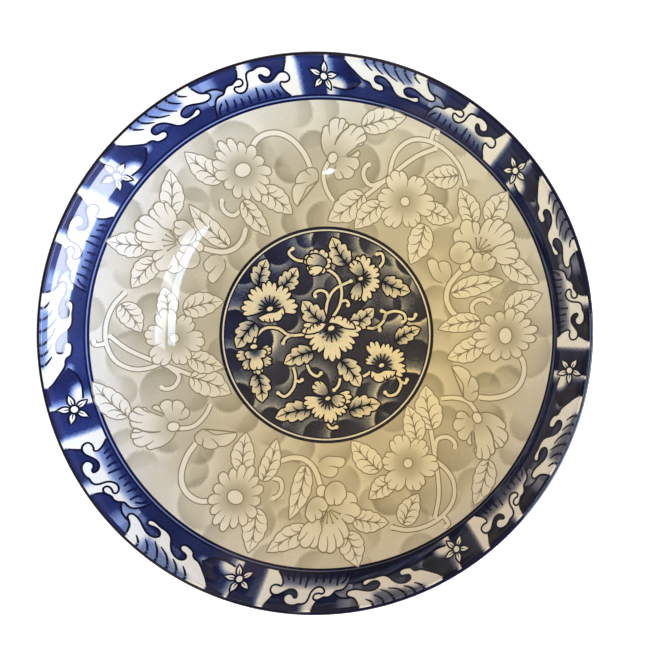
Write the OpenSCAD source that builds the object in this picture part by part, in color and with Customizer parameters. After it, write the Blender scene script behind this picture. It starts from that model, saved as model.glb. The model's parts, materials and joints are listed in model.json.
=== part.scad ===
// Footed porcelain serving bowl, modelled as the layers it is made in: a fired body,
// a luted foot ring, and the printed bands and glazes that cover them, edge to edge.
// Everything is turned about Z. The origin is the centre of the face it stands on.

/* [Bowl] */
// Outside diameter at the lip
rim_d = 250; // [240:2:280]
// Slope of the inside at the lip, in degrees
lip_slope = 55; // [50:1:60]
// Slope of the inside where the border band starts, in degrees
border_slope = 41; // [34:1:46]
// Slope at the edge of the nearly flat floor, in degrees
floor_slope = 2; // [1:0.5:4]
// Radius of the nearly flat floor
floor_r = 54; // [50:1:60]

/* [Walls] */
// Glazed thickness at the centre of the floor
floor_t = 5.2; // [4:0.1:7]
// Glazed thickness where the border band starts
border_t = 3.8; // [3.4:0.1:5]
// Glazed thickness just below the lip
lip_t = 2.8; // [2.4:0.1:4.4]
// Thickness of the glaze with its printed colour
skin_t = 0.4; // [0.3:0.05:0.8]

/* [Foot ring] */
// Outside diameter of the foot ring where it meets the table
foot_d = 126; // [120:1:136]
// Width of the foot ring where it meets the table
foot_w = 5; // [4:0.5:7]
// Depth of the hollow inside the foot ring
recess_h = 7; // [5:0.5:9]
// How much the foot ring widens, on each side, from the table up to the wall
foot_lean = 1; // [0.5:0.25:1.5]
// Radius on the two edges of the standing face
foot_round = 1; // [0.5:0.1:1.4]
// Height of the bare, unglazed edge
bare_h = 1.6; // [1.5:0.1:2.5]

/* [Printed bands] */
// Radius of the round picture on the floor
medallion_r = 45.2; // [40:0.2:47]
// Outer radius of the rings around it
medallion_line_r = 48.8; // [48:0.2:49.6]
// Radius where the flowered field ends and the line under the border starts
line_inner_r = 104.6; // [100:0.2:108]
// Width of the line under the border
line_w = 2.5; // [1.5:0.1:4]
// How far the dark lip line runs in past the round of the lip, inside and outside
lip_line_w = 0.2; // [0.2:0.1:2]

/* [Smoothness] */
// Longest step between two stations of the profile
step = 3.5; // [2:0.5:6]
// Facets of a full turn
turn_fn = 96; // [48:12:180]

/* [Hidden] */

porcelain_colour = [0.93, 0.91, 0.86];
bare_colour = [0.85, 0.80, 0.70];
glaze_colour = [0.95, 0.94, 0.90];
lip_colour = [0.10, 0.09, 0.16];
border_colour = [0.25, 0.33, 0.68];
line_colour = [0.16, 0.22, 0.50];
field_colour = [0.86, 0.81, 0.68];
ring_colour = [0.14, 0.13, 0.20];
medallion_colour = [0.11, 0.13, 0.26];

floor_z = recess_h + floor_t;
line_outer_r = line_inner_r + line_w;
// The inside surface ends where the round lip takes over.
lip_in_r = rim_d / 2 - lip_t / 2 - lip_t / 2 * sin(lip_slope);
lip_line_r = lip_in_r - lip_line_w;
foot_out_r = foot_d / 2;
foot_in_r = foot_out_r - foot_w;
foot_top_out_r = foot_out_r + foot_lean;
foot_top_in_r = foot_in_r - foot_lean;
round_steps = 6;
lip_steps = 14;

// The sine of the slope runs straight from knot to knot, so each stretch is an arc of a circle
// and the stretches join without a corner.
SLOPES = [[0, 0], [floor_r, sin(floor_slope)], [line_outer_r, sin(border_slope)],
          [lip_in_r, sin(lip_slope)]];
THICK = [[0, floor_t], [floor_r, floor_t], [line_outer_r, border_t], [lip_in_r, lip_t]];

function slope(r) = asin(lookup(r, SLOPES));
function thickness(r) = lookup(r, THICK);

// Stations of the profile between two radii, the first left out, no further apart than step.
function stations(r0, r1) = let (n = ceil((r1 - r0) / step))
    [for (i = [1:n]) r0 + (r1 - r0) * i / n];

// Every band edge, and both sides of the foot ring with and without glaze, has its own station.
EDGES = [0, medallion_r, medallion_line_r, foot_top_in_r, foot_top_in_r + skin_t,
         foot_top_out_r - skin_t, foot_top_out_r, line_inner_r, line_outer_r, lip_line_r, lip_in_r];
RADII = concat([0], [for (i = [1:len(EDGES) - 1]) each stations(EDGES[i - 1], EDGES[i])]);
LAST = len(RADII) - 1;

// Height gained over an arc: its run times the tangent of its mean slope.
function rise(i) = i > LAST ? 0
    : (RADII[i] - RADII[i - 1]) * tan((slope(RADII[i]) + slope(RADII[i - 1])) / 2);
HEIGHTS = [for (i = 0, z = floor_z; i <= LAST; i = i + 1, z = z + rise(i)) z];

// The number of the station at radius r.
function at(r) = len([for (q = RADII) if (q < r - skin_t / 10) q]);

// The point a given depth below the glazed inside surface at station i, square to the surface.
function below(i, depth) = let (a = slope(RADII[i]))
    [RADII[i] + depth * sin(a), HEIGHTS[i] - depth * cos(a)];

// Runs of points from station i to station j, inset from the glazed inside or outside.
function way(i, j) = i <= j ? [i:j] : [i:-1:j];
function inside(i, j, inset) = [for (k = way(i, j)) below(k, inset)];
function outside(i, j, inset) = [for (k = way(i, j)) below(k, thickness(RADII[k]) - inset)];

// The half circle of the lip, from the inside over the edge to the outside.
function lip(inset) = [for (k = [1:lip_steps - 1]) let (a = 90 + lip_slope - 180 * k / lip_steps)
    below(LAST, lip_t / 2) + (lip_t / 2 - inset) * [cos(a), sin(a)]];

// A quarter circle of the foot ring's standing face, about a centre at radius r.
function foot_corner(r, start) = [for (k = [0:round_steps]) let (a = start + 90 * k / round_steps)
    [r + foot_round * cos(a), foot_round + foot_round * sin(a)]];

// The point at height z on the line from p to q.
function at_height(p, q, z) = p + (q - p) * (z - p[1]) / (q[1] - p[1]);

// The end of the foot ring's glaze on one side: top is where that side meets the wall, and
// foot_r is its radius at the standing face.
function glaze_end(top, foot_r) = at_height(top, [foot_r, foot_round], bare_h);

module turned(points) {
    rotate_extrude($fn = turn_fn) polygon(points);
}

// One band of the inside skin between two station radii.
module inside_band(r0, r1) {
    turned(concat(inside(at(r0), at(r1), 0), inside(at(r1), at(r0), skin_t)));
}

module porcelain_body() {
    color(porcelain_colour)
        turned(concat(inside(0, LAST, skin_t), lip(skin_t), outside(LAST, 0, skin_t)));
}

module foot_ring() {
    inner = at(foot_top_in_r + skin_t);
    outer = at(foot_top_out_r - skin_t);
    color(bare_colour)
        turned(concat(outside(outer, inner, skin_t),
                      foot_corner(foot_in_r + skin_t + foot_round, 180),
                      foot_corner(foot_out_r - skin_t - foot_round, 270)));
}

module outer_glaze() {
    top = outside(at(foot_top_out_r), at(foot_top_out_r), 0)[0];
    top_bare = outside(at(foot_top_out_r - skin_t), at(foot_top_out_r - skin_t), skin_t)[0];
    color(glaze_colour)
        turned(concat(outside(at(lip_line_r), at(foot_top_out_r), 0),
                      [glaze_end(top, foot_out_r), glaze_end(top_bare, foot_out_r - skin_t)],
                      outside(at(foot_top_out_r - skin_t), at(lip_line_r), skin_t)));
}

module base_glaze() {
    top = outside(at(foot_top_in_r), at(foot_top_in_r), 0)[0];
    top_bare = outside(at(foot_top_in_r + skin_t), at(foot_top_in_r + skin_t), skin_t)[0];
    color(glaze_colour)
        turned(concat(outside(0, at(foot_top_in_r), 0),
                      [glaze_end(top, foot_in_r), glaze_end(top_bare, foot_in_r + skin_t)],
                      outside(at(foot_top_in_r + skin_t), 0, skin_t)));
}

module lip_line() {
    first = at(lip_line_r);
    bare_lip = lip(skin_t);
    color(lip_colour)
        turned(concat(inside(first, LAST, 0), lip(0), outside(LAST, first, 0),
                      outside(first, LAST, skin_t),
                      [for (k = [len(bare_lip) - 1:-1:0]) bare_lip[k]],
                      inside(LAST, first, skin_t)));
}

module border_print() {
    color(border_colour) inside_band(line_outer_r, lip_line_r);
}

module border_line() {
    color(line_colour) inside_band(line_inner_r, line_outer_r);
}

module field_print() {
    color(field_colour) inside_band(medallion_line_r, line_inner_r);
}

module medallion_line() {
    color(ring_colour) inside_band(medallion_r, medallion_line_r);
}

module medallion_print() {
    color(medallion_colour) inside_band(0, medallion_r);
}

porcelain_body();
foot_ring();
outer_glaze();
base_glaze();
lip_line();
border_print();
border_line();
field_print();
medallion_line();
medallion_print();
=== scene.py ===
"""Looks for the footed porcelain serving bowl.

The CAD frame gives every size. Its plain skins are replaced by smooth turned skins, and the printed
pattern lies on the inside as thin closed inlays, one piece for each ink in each band.
Plan positions are millimetres from the bowl's axis, with +X to the right and +Y away.
"""
import json
import math

import bpy
import numpy as np
from mathutils import Matrix, Vector
from mathutils.geometry import delaunay_2d_cdt

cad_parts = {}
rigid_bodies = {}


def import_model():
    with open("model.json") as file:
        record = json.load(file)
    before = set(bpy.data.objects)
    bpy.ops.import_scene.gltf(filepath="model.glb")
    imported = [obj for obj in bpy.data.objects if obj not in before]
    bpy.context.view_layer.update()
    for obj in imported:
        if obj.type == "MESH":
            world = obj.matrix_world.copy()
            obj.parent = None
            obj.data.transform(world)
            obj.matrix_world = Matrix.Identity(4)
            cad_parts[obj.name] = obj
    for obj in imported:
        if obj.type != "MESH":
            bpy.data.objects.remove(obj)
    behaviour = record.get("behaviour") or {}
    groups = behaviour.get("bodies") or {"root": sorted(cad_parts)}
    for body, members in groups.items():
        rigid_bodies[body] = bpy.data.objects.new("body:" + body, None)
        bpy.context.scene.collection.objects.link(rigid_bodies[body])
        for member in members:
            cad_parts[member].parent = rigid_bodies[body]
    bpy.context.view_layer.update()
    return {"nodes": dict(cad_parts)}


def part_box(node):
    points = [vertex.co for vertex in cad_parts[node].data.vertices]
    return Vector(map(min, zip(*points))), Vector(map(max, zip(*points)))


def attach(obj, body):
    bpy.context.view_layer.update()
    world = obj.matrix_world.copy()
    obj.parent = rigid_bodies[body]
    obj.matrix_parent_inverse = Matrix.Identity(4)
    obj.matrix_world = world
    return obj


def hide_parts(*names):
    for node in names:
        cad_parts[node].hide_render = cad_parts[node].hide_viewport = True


MM = 0.001
EDGE_STEP = 0.6  # spacing of points along a printed edge
FILL_STEP = 1.7  # spacing of points inside a printed shape
PETAL_STEP = FILL_STEP * 0.7
LAYER = 0.02  # height of one printed layer over the next
SINK = 0.06  # how far an inlay is let into the skin below it
SKIN = 0.3  # thickness of a turned skin
SHARP_TURN = 25  # a profile's corner stays sharp from this angle, in degrees
BANDS = ("medallion_print", "medallion_line", "field_print", "border_line", "border_print", "lip_line")

for thing in list(bpy.data.objects):
    bpy.data.objects.remove(thing)
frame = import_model()


# ---- curves

def spline(points, step=EDGE_STEP):
    """Points no further than step apart on a smooth curve through the given points."""
    p = np.array(points, float)
    p = np.vstack([2 * p[0] - p[1], p, 2 * p[-1] - p[-2]])
    out = []
    for a, b, c, d in zip(p, p[1:], p[2:], p[3:]):
        k0, k1, k2 = (math.sqrt(max(np.linalg.norm(v), 1e-9)) for v in (b - a, c - b, d - c))
        m1 = (c - b) + k1 * ((b - a) / k0 - (c - a) / (k0 + k1))
        m2 = (c - b) + k1 * ((d - c) / k2 - (d - b) / (k1 + k2))
        n = max(1, math.ceil(np.linalg.norm(c - b) / step))
        for u in np.arange(n) / n:
            out.append((2 * u**3 - 3 * u**2 + 1) * b + (u**3 - 2 * u**2 + u) * m1
                       + (3 * u**2 - 2 * u**3) * c + (u**3 - u**2) * m2)
    return np.array(out + [p[-2]])


def turn(points, degrees):
    """Points turned about the origin."""
    a = math.radians(degrees)
    return np.asarray(points) @ np.array([[math.cos(a), math.sin(a)], [-math.sin(a), math.cos(a)]])


def place(points, at, direction=0, size=1):
    """Points of a motif drawn along +X, scaled, turned to a direction and moved."""
    return turn(np.asarray(points) * size, direction) + at


def polar(radius, degrees):
    """Points at a distance and a direction from the origin."""
    a = np.radians(degrees)
    return np.stack([radius * np.cos(a), radius * np.sin(a)], -1)


def wrap(degrees):
    """The same directions, from -180 to 180."""
    return (degrees + 180) % 360 - 180


def lengths_along(path):
    return np.concatenate([[0], np.cumsum(np.linalg.norm(np.diff(path, axis=0), axis=1))])


def shares_along(path):
    """How far along a path each of its points is, from 0 to 1."""
    length = lengths_along(path)
    return length / length[-1]


def there_and_back(path, other):
    """A closed outline that runs along one path and back along another with the same ends."""
    return np.vstack([path, other[-2:0:-1]])


# ---- the bowl's surfaces, from the frame

def inside_stations(*nodes):
    """Distance from the axis and height of the glazed inside, in mm, at the CAD's own stations."""
    found = {}
    for node in nodes:
        mesh = frame["nodes"][node].data
        for face in mesh.polygons:
            if face.normal.z > 0.3 and face.normal.xy.dot(face.center.xy) < 1e-6:
                for i in face.vertices:
                    co = mesh.vertices[i].co / MM
                    found[round(math.hypot(co.x, co.y), 3)] = co.z
    return np.array(sorted(found.items()))


surface_r, surface_z = spline(inside_stations(*BANDS), 0.25).T
surface_grade = np.gradient(surface_z, surface_r)


def lift(xy, height):
    """Points height mm above the glazed inside, square to it, in metres, and their normals."""
    x, y = np.asarray(xy).T
    r = np.maximum(np.hypot(x, y), 1e-9)
    grade = np.interp(r, surface_r, surface_grade)
    normal = np.stack([-grade * x / r, -grade * y / r, np.ones_like(r)], 1)
    normal /= np.linalg.norm(normal, axis=1, keepdims=True)
    return (np.stack([x, y, np.interp(r, surface_r, surface_z)], 1) + normal * height) * MM, normal


def inside_edges(node):
    """Radii between which a band lies on the glazed inside."""
    r = inside_stations(node)[:, 0]
    return r.min(), r.max()


def section(node):
    """A turned node's outline in the half plane +X, as ordered (r, z) points in mm."""
    mesh = frame["nodes"][node].data
    links = {}
    for edge in mesh.edges:
        ends = [mesh.vertices[i].co / MM for i in edge.vertices]
        if all(abs(co.y) < 1e-4 and co.x > -1e-4 for co in ends):
            a, b = [(round(co.x, 4), round(co.z, 4)) for co in ends]
            if a != b:
                links.setdefault(a, set()).add(b)
                links.setdefault(b, set()).add(a)
    chain = [min(links)]
    while onward := links[chain[-1]] - set(chain):
        chain.append(min(onward))
    return np.array(chain)


# ---- meshes

def make_piece(name, slot, material, verts, faces, normals=None, tones=None, sharp=None, node=None):
    """A smooth piece of the bowl. sharp holds the edges that stay sharp, and node is what it replaces."""
    mesh = bpy.data.meshes.new(name)
    mesh.from_pydata([tuple(v) for v in verts], [], faces)
    mesh.validate()
    mesh.polygons.foreach_set("use_smooth", [True] * len(mesh.polygons))
    if tones is not None:
        mesh.attributes.new("tone", "FLOAT", "POINT").data.foreach_set("value", np.array(tones, np.float32))
    if sharp:
        flags = [tuple(sorted(edge.vertices)) in sharp for edge in mesh.edges]
        mesh.attributes.new("sharp_edge", "BOOLEAN", "EDGE").data.foreach_set("value", flags)
    if normals is not None:
        mesh.normals_split_custom_set_from_vertices([tuple(n) for n in normals])
    mesh.materials.append(material)
    piece = bpy.data.objects.new(name, mesh)
    bpy.context.scene.collection.objects.link(piece)
    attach(piece, "root")
    if node:
        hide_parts(node)


def grid_faces(rows, columns, wrap_rows=True):
    """Quads of a grid that closes on itself around its columns."""
    faces = []
    for i in range(rows if wrap_rows else rows - 1):
        a, b = i * columns, (i + 1) % rows * columns
        for j in range(columns):
            k = (j + 1) % columns
            faces.append((a + j, b + j, b + k, a + k))
    return faces


def circle(columns):
    return polar(1, np.arange(columns) * 360 / columns)


def skin(name, node, slot, edges, material, tone=None, columns=720, row_step=1.1, height=0.0):
    """A closed turned skin on the inside, between two radii."""
    r0, r1 = max(edges[0], 0.02), edges[1]
    radii = np.linspace(r0, r1, max(2, math.ceil((r1 - r0) / row_step)) + 1)
    flat = np.concatenate([circle(columns) * r for r in radii])
    top, up = lift(flat, height)
    low, _ = lift(flat, height - SKIN)
    rows = len(radii)

    def mirrored(values):
        return values.reshape(rows, columns, -1)[::-1].reshape(values.shape)

    tones = tone(flat) if tone else np.zeros(len(flat))
    make_piece(name, slot, material, np.concatenate([top, mirrored(low)]), grid_faces(2 * rows, columns),
               np.concatenate([up, -mirrored(up)]), np.concatenate([tones, mirrored(tones)]), node=node)


def lathe(name, node, slot, material, columns=360, step=0.8):
    """A CAD section turned again with its curves smoothed and its corners kept."""
    loop = section(node)
    closed = loop[0][0] > 0.01
    ahead = np.roll(loop, -1, 0) - loop
    behind = loop - np.roll(loop, 1, 0)
    bend = np.degrees(np.abs(np.arctan2(behind[:, 0] * ahead[:, 1] - behind[:, 1] * ahead[:, 0],
                                        (behind * ahead).sum(1))))
    if not closed:
        bend[[0, -1]] = 90  # both ends, on the axis
    corners = np.flatnonzero(bend > SHARP_TURN)
    loop = np.roll(loop, -corners[0], 0)
    corners = list(corners - corners[0])
    loop = np.vstack([loop, loop[:1]])
    rows, keep = [], []
    for i, j in zip(corners, corners[1:] + ([len(loop) - 1] if closed else [])):
        keep.append(len(rows))
        rows.extend(spline(loop[i:j + 1], step)[:-1])
    if not closed:
        keep.append(len(rows))
        rows.append(loop[corners[-1]])
    ring = circle(columns)
    verts = [np.column_stack([ring * max(r, 0.01), np.full(columns, z)]) * MM for r, z in rows]
    faces = grid_faces(len(rows), columns, wrap_rows=closed)
    if not closed:
        faces.append(tuple(range(columns)))
        faces.append(tuple(range((len(rows) - 1) * columns, len(rows) * columns))[::-1])
    if (loop[:-1, 0] * loop[1:, 1] - loop[1:, 0] * loop[:-1, 1]).sum() < 0:
        faces = [f[::-1] for f in faces]
    sharp = {tuple(sorted((k * columns + j, k * columns + (j + 1) % columns)))
             for k in keep for j in range(columns)}
    make_piece(name, slot, material, np.concatenate(verts), faces, sharp=sharp, node=node)


# ---- printed inlays

def inside_outline(points, outline):
    """Whether each point is inside a closed outline, and its distance from the outline's points."""
    x, y = points[:, :1], points[:, 1:]
    ax, ay = outline.T
    bx, by = np.roll(outline, -1, 0).T
    crosses = (ay > y) != (by > y)
    with np.errstate(divide="ignore", invalid="ignore"):
        at = ax + (y - ay) * (bx - ax) / (by - ay)
    within = (crosses & (x < at)).sum(1) % 2 == 1
    return within, np.hypot(x - ax, y - ay).min(1)


def fill_mesh(outline, spacing):
    """Points and triangles that fill a closed outline."""
    low, high = outline.min(0), outline.max(0)
    across = np.arange(low[0], high[0], spacing)
    up = np.arange(low[1], high[1], spacing * 0.87)
    grid = np.array([(x + spacing / 2 * (j % 2), y) for j, y in enumerate(up) for x in across])
    within, gap = inside_outline(grid, outline)
    points = [Vector(p) for p in np.vstack([outline, grid[within & (gap > spacing * 0.45)]])]
    verts, _, faces, *_ = delaunay_2d_cdt(points, [], [list(range(len(outline)))], 1, 1e-6)
    return np.array([tuple(v) for v in verts]), faces


def ribbon_mesh(path, widths, closed):
    """Points and triangles of a stroke along a path, with its width at each point."""
    ahead = np.roll(path, -1, 0)
    behind = np.roll(path, 1, 0)
    if not closed:
        ahead[-1] = path[-1]
        behind[0] = path[0]
    along = ahead - behind
    along /= np.maximum(np.linalg.norm(along, axis=1, keepdims=True), 1e-9)
    side = np.stack([-along[:, 1], along[:, 0]], 1) * np.reshape(widths, (-1, 1)) / 2
    n = len(path)
    faces = []
    for i in range(n if closed else n - 1):
        j = (i + 1) % n
        faces += [(i + n, j + n, j), (i + n, j, i)]
    return np.vstack([path + side, path - side]), faces


class Ink:
    """One printed piece, gathered from closed inlays."""

    def __init__(self, name, slot, material):
        self.looks = name, slot, material
        self.verts, self.normals, self.tones, self.faces = [], [], [], []
        self.count = 0

    def add(self, plan, faces, level, tones):
        """Adds a sheet that stands level layers above the skin and is closed underneath."""
        x, y = plan.T
        ups = []
        for a, b, c in faces:
            area = (x[b] - x[a]) * (y[c] - y[a]) - (y[b] - y[a]) * (x[c] - x[a])
            if abs(area) > 1e-9:
                ups.append((a, b, c) if area > 0 else (a, c, b))
        sides = {(f[i], f[(i + 1) % 3]) for f in ups for i in range(3)}
        rim = [(a, b) for a, b in sides if (b, a) not in sides]
        top, up = lift(plan, level * LAYER)
        k, n = self.count, len(plan)
        self.verts += [top, lift(plan, -SINK)[0]]
        self.normals += [up, up]
        self.tones += [np.broadcast_to(tones, n)] * 2
        self.faces += [(a + k, b + k, c + k) for a, b, c in ups]
        self.faces += [(c + k + n, b + k + n, a + k + n) for a, b, c in ups]
        self.faces += [(a + k, a + k + n, b + k + n, b + k) for a, b in sorted(rim)]
        self.count += 2 * n

    def finish(self):
        make_piece(*self.looks, np.concatenate(self.verts), self.faces, np.concatenate(self.normals),
                   np.concatenate(self.tones))


class Print:
    """A band's printed pattern: its inks, and how its drawing coordinates lie on the plan."""

    def __init__(self, band, tones, line, line_width, roles=("vines", "leaves", "flowers")):
        self.to_plan = lambda points: points
        self.inks = {role: Ink(f"{band}_{role}", f"{band}_glaze", tones) for role in roles}
        self.inks["lines"] = Ink(f"{band}_lines", f"{band}_glaze", line)
        self.line_width = line_width

    def fill(self, role, outline, level, tone=1.0, spacing=FILL_STEP):
        """Fills a closed outline. tone is a number, or a function of the drawing's points."""
        xy, faces = fill_mesh(outline, spacing)
        self.inks[role].add(self.to_plan(xy), faces, level, tone(xy) if callable(tone) else tone)

    def stroke(self, path, widths, level, role="lines", tone=0.0, closed=False):
        xy, faces = ribbon_mesh(path, widths, closed)
        self.inks[role].add(self.to_plan(xy), faces, level, tone)

    def shape(self, role, outline, level, tone=1.0, spacing=FILL_STEP, line=None):
        """A filled outline with a line along its edge."""
        self.fill(role, outline, level, tone, spacing)
        self.stroke(outline, line or self.line_width, level + 1, closed=True)

    def petals(self, outline, level, tone=1.0):
        self.shape("flowers", outline, level, tone, PETAL_STEP)

    def vein(self, points, level, width=None, tail=0.3):
        """A fine line that thins towards its end."""
        path = spline(points)
        thinned = 1 - (1 - tail) * shares_along(path) ** 2
        self.stroke(path, (width or self.line_width) * thinned, level)

    def finish(self):
        for ink in self.inks.values():
            ink.finish()


# ---- motifs

def round_ended(path, width, bulb=1.0):
    """A path with extra points at its ends, and the widths of a stroke that ends round.

    bulb makes the far end that many times wider, as a curl's knob."""
    length = lengths_along(path)
    total = length[-1]
    cap = width / 2
    knob = cap * bulb
    marks = np.concatenate([cap * np.array([0, 0.1, 0.35, 0.7, 1]),
                            total - knob * np.array([0, 0.1, 0.35, 0.7, 1, 1.5, 1.9])])
    s = np.unique(np.clip(np.concatenate([length, marks]), 0, total))
    points = np.stack([np.interp(s, length, path[:, 0]), np.interp(s, length, path[:, 1])], 1)
    half = np.full(len(s), cap)
    near = s < cap
    half[near] = np.sqrt(np.maximum(cap**2 - (cap - s[near])**2, 1e-6))
    left = total - s
    far = left < 2 * knob
    round_end = np.sqrt(np.maximum(knob**2 - (knob - left[far])**2, 1e-6))
    half[far] = np.where(left[far] < knob, round_end, np.maximum(round_end, cap))
    return points, 2 * half


def vine(band, points, width, bulb=1.0):
    """A light stem with a dark line on each side."""
    path = spline(points)
    whole = width + 2 * band.line_width
    band.stroke(*round_ended(path, whole, (width * bulb + 2 * band.line_width) / whole), 2)
    band.stroke(*round_ended(path, width, bulb), 3, "vines", 1.0)


def leaf_side(t, half_width, pointed):
    """Half the leaf's width, from its foot at 0 to its tip at 1."""
    return half_width * np.sin(math.pi * t**0.74) ** (0.62 + pointed * t**2)


def leaf_outline(length, half_width, lobes, nick, bend, pointed):
    """A leaf from the origin along +X, with lobes along both sides that lean to its tip."""
    t = np.linspace(0, 1, max(24, int(length / EDGE_STEP * 2)))
    dents = 1 - np.abs(np.sin(math.pi * lobes * t**0.86)) ** 0.55
    inner = np.minimum(1, 5 * t * (1 - t))
    side = leaf_side(t, half_width, pointed) * (1 - nick * dents * inner)
    rib = bend * length * np.sin(math.pi * t)
    along = t * length - nick * half_width * dents * inner * 0.9
    upper = np.stack([along, rib + side], 1)
    lower = np.stack([along, rib - side], 1)[::-1]
    return np.vstack([upper[1:], lower[1:-1], [(0, 0)]])


def leaf(band, base, tip, half_width, level, lobes, nick, bend, pointed, blush=None):
    """A leaf with a midrib and a side vein to each dent. blush is the tone at the foot of its midrib."""
    base, tip = np.array(base, float), np.array(tip, float)
    length = np.linalg.norm(tip - base)
    along = (tip - base) / length
    direction = math.degrees(math.atan2(*(tip - base)[::-1]))

    def rib(t):
        return np.array([t * length, bend * length * math.sin(math.pi * t)])

    def tone(xy):
        t = np.clip((xy - base) @ along / length, 0, 1)
        off = (xy - base) @ (-along[1], along[0]) - bend * length * np.sin(math.pi * t)
        return 1 - (1 - blush) * (1 - t) ** 1.2 * np.exp(-np.abs(off) / (0.4 * half_width))

    edge = place(leaf_outline(length, half_width, lobes, nick, bend, pointed), base, direction)
    band.shape("leaves", edge, level, 1.0 if blush is None else tone)
    width = 1.15 * band.line_width
    band.vein(place([rib(t) for t in (0.02, 0.35, 0.65, 0.93)], base, direction), level + 1, width * 1.15)
    for i in range(1, lobes):
        t = (i / lobes) ** (1 / 0.86)
        start = rib(max(0.04, t - 0.17))
        out = leaf_side(np.array(t), half_width, pointed) * (0.84 - nick)
        for side in (1, -1):
            end = rib(t) + (0, side * out)
            middle = (start + end) / 2 + (0.04 * length, -side * 0.06 * half_width)
            band.vein(place([start, middle, end], base, direction), level + 1, width * 0.95)


def blushed(at, blush, reach, power=2):
    """A tone that falls to blush at a point, or white all over where blush is None."""
    if blush is None:
        return 1.0
    return lambda xy: 1 - (1 - blush) * np.exp(-((np.hypot(*(xy - at).T) / reach) ** power))


def fan_edge(lengths, spread, scallops, dip, nick, hub):
    """Directions from a flower's middle, facing +X, and how far its edge lies in each."""
    half = spread / len(lengths) / 2
    angles = np.arange(-180, 180, 2.0)
    radius = np.full(len(angles), hub * max(lengths))
    for i, length in enumerate(lengths):
        across = wrap(angles - (half * (2 * i + 1) - spread / 2)) / half
        t = np.clip(across, -1, 1)
        edge = length * (1 - dip * np.abs(t) ** 2.6)
        edge *= 1 - nick * (1 - np.abs(np.sin(math.pi * scallops * (t + 1) / 2)) ** 0.6)
        radius = np.maximum(radius, edge * np.clip((1.15 - np.abs(across)) / 0.15, 0, 1))
    return angles, radius


def flower(band, at, facing, size, lengths, level, spread=360, scallops=3, dip=0.3, nick=0.1, hub=0.15,
           cut=0.3, notch=0.16, squash=1.0, blush=None, blush_size=0.5):
    """An open flower or a fan of petals. cut and notch are how far the lines between petals and between
    scallops run in, as shares of its radius. blush is the tone round its middle."""
    angles, radius = fan_edge(lengths, spread, scallops, dip, nick, hub)

    def lay(points):
        return place(np.asarray(points) * (1, squash), at, facing, size)

    def line_in(angle, share, width=1.0):
        edge = polar(np.interp(wrap(angle), angles, radius), wrap(angle))
        inward = lay([edge, edge * (1 - share * 0.5), edge * (1 - share)])
        band.vein(inward, level + 1, band.line_width * width)

    band.petals(lay(polar(radius, angles)), level, blushed(at, blush, size * blush_size, 2.5))
    each = spread / len(lengths)
    for i in range(0 if spread >= 360 else 1, len(lengths)):
        line_in(each * i - spread / 2, cut)
    for i in range(len(lengths)):
        for k in range(1, scallops):
            line_in(each * (i + k / scallops) - spread / 2, notch, 0.9)


def outline(*runs):
    """A closed outline of smooth runs of points, joined by straight lines."""
    curves = [spline(run) for run in runs]
    parts = []
    for curve, following in zip(curves, curves[1:] + curves[:1]):
        gap = following[0] - curve[-1]
        count = math.ceil(np.linalg.norm(gap) / EDGE_STEP)
        parts.append(curve)
        if count > 1:
            parts.append(curve[-1] + gap * np.arange(1, count)[:, None] / count)
    points = np.vstack(parts)
    apart = np.linalg.norm(points - np.roll(points, 1, 0), axis=1)
    return points[apart > 1e-4]


def scalloped(band, foot, side, notches, back, level, bulge=0.3, cut=0.28, blush=0.7, reach=9):
    """A petal drawn by its edge: a smooth side, scallops from notch to notch, and a smooth way back to its
    foot. Without a back the edge closes on itself. A line runs in from each inner notch."""
    foot = np.array(foot, float)
    runs = [side]
    for a, b in zip(notches, notches[1:]):
        a, b = np.array(a), np.array(b)
        out = np.array([b[1] - a[1], a[0] - b[0]]) * bulge
        if out @ ((a + b) / 2 - foot) < 0:
            out = -out
        runs.append([a, a + 0.2 * (b - a) + 0.75 * out, (a + b) / 2 + out, b - 0.2 * (b - a) + 0.75 * out, b])
    if back:
        runs.append(back)
    drawn = np.vstack([spline(run) for run in runs])
    drawn = drawn[np.concatenate([[True], np.linalg.norm(np.diff(drawn, axis=0), axis=1) > 1e-4])]
    inward = [[foot, foot + (0.01, 0)]] if back else []
    band.fill("flowers", outline(*runs, *inward), level, blushed(foot, blush, reach), PETAL_STEP)
    band.stroke(drawn, band.line_width, level + 1)
    for notch in notches[1:-1]:
        inner = np.array(notch) + cut * (foot - notch)
        bow = 0.06 * np.array([foot[1] - notch[1], notch[0] - foot[0]]) * cut
        band.vein([notch, (inner + notch) / 2 + bow, inner], level + 1, band.line_width * 1.15)


def petal(band, at, facing, length, width, level, scallops=3, nick=0.07, blush=None, cut=0.3):
    """A single rounded petal: at is its foot, and cut the length of the lines between its scallops."""
    a = np.radians(np.arange(0, 360, 6))
    swing = np.cos if scallops % 2 else np.sin
    wave = 1 - nick * (1 - np.abs(swing(scallops * a)) ** 0.6) * np.maximum(np.cos(a), 0)
    edge = np.stack([length / 2 * (1 + np.cos(a) * wave),
                     width / 2 * np.sin(a) * wave * (0.88 + 0.2 * np.cos(a))], 1)
    band.petals(place(edge, at, facing), level, blushed(at, blush, 0.55 * length))
    for k in range(1, scallops):
        i = int(np.argmin(np.abs(wrap(np.degrees(a)) - 180 * (k / scallops - 0.5))))
        inner = edge[i] + cut * ((0.15 * length, 0) - edge[i])
        bow = (edge[i] + inner) / 2 + (0, 0.05 * np.sign(edge[i][1]) * length * cut)
        band.vein(place([edge[i], bow, inner], at, facing), level + 1)


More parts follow.
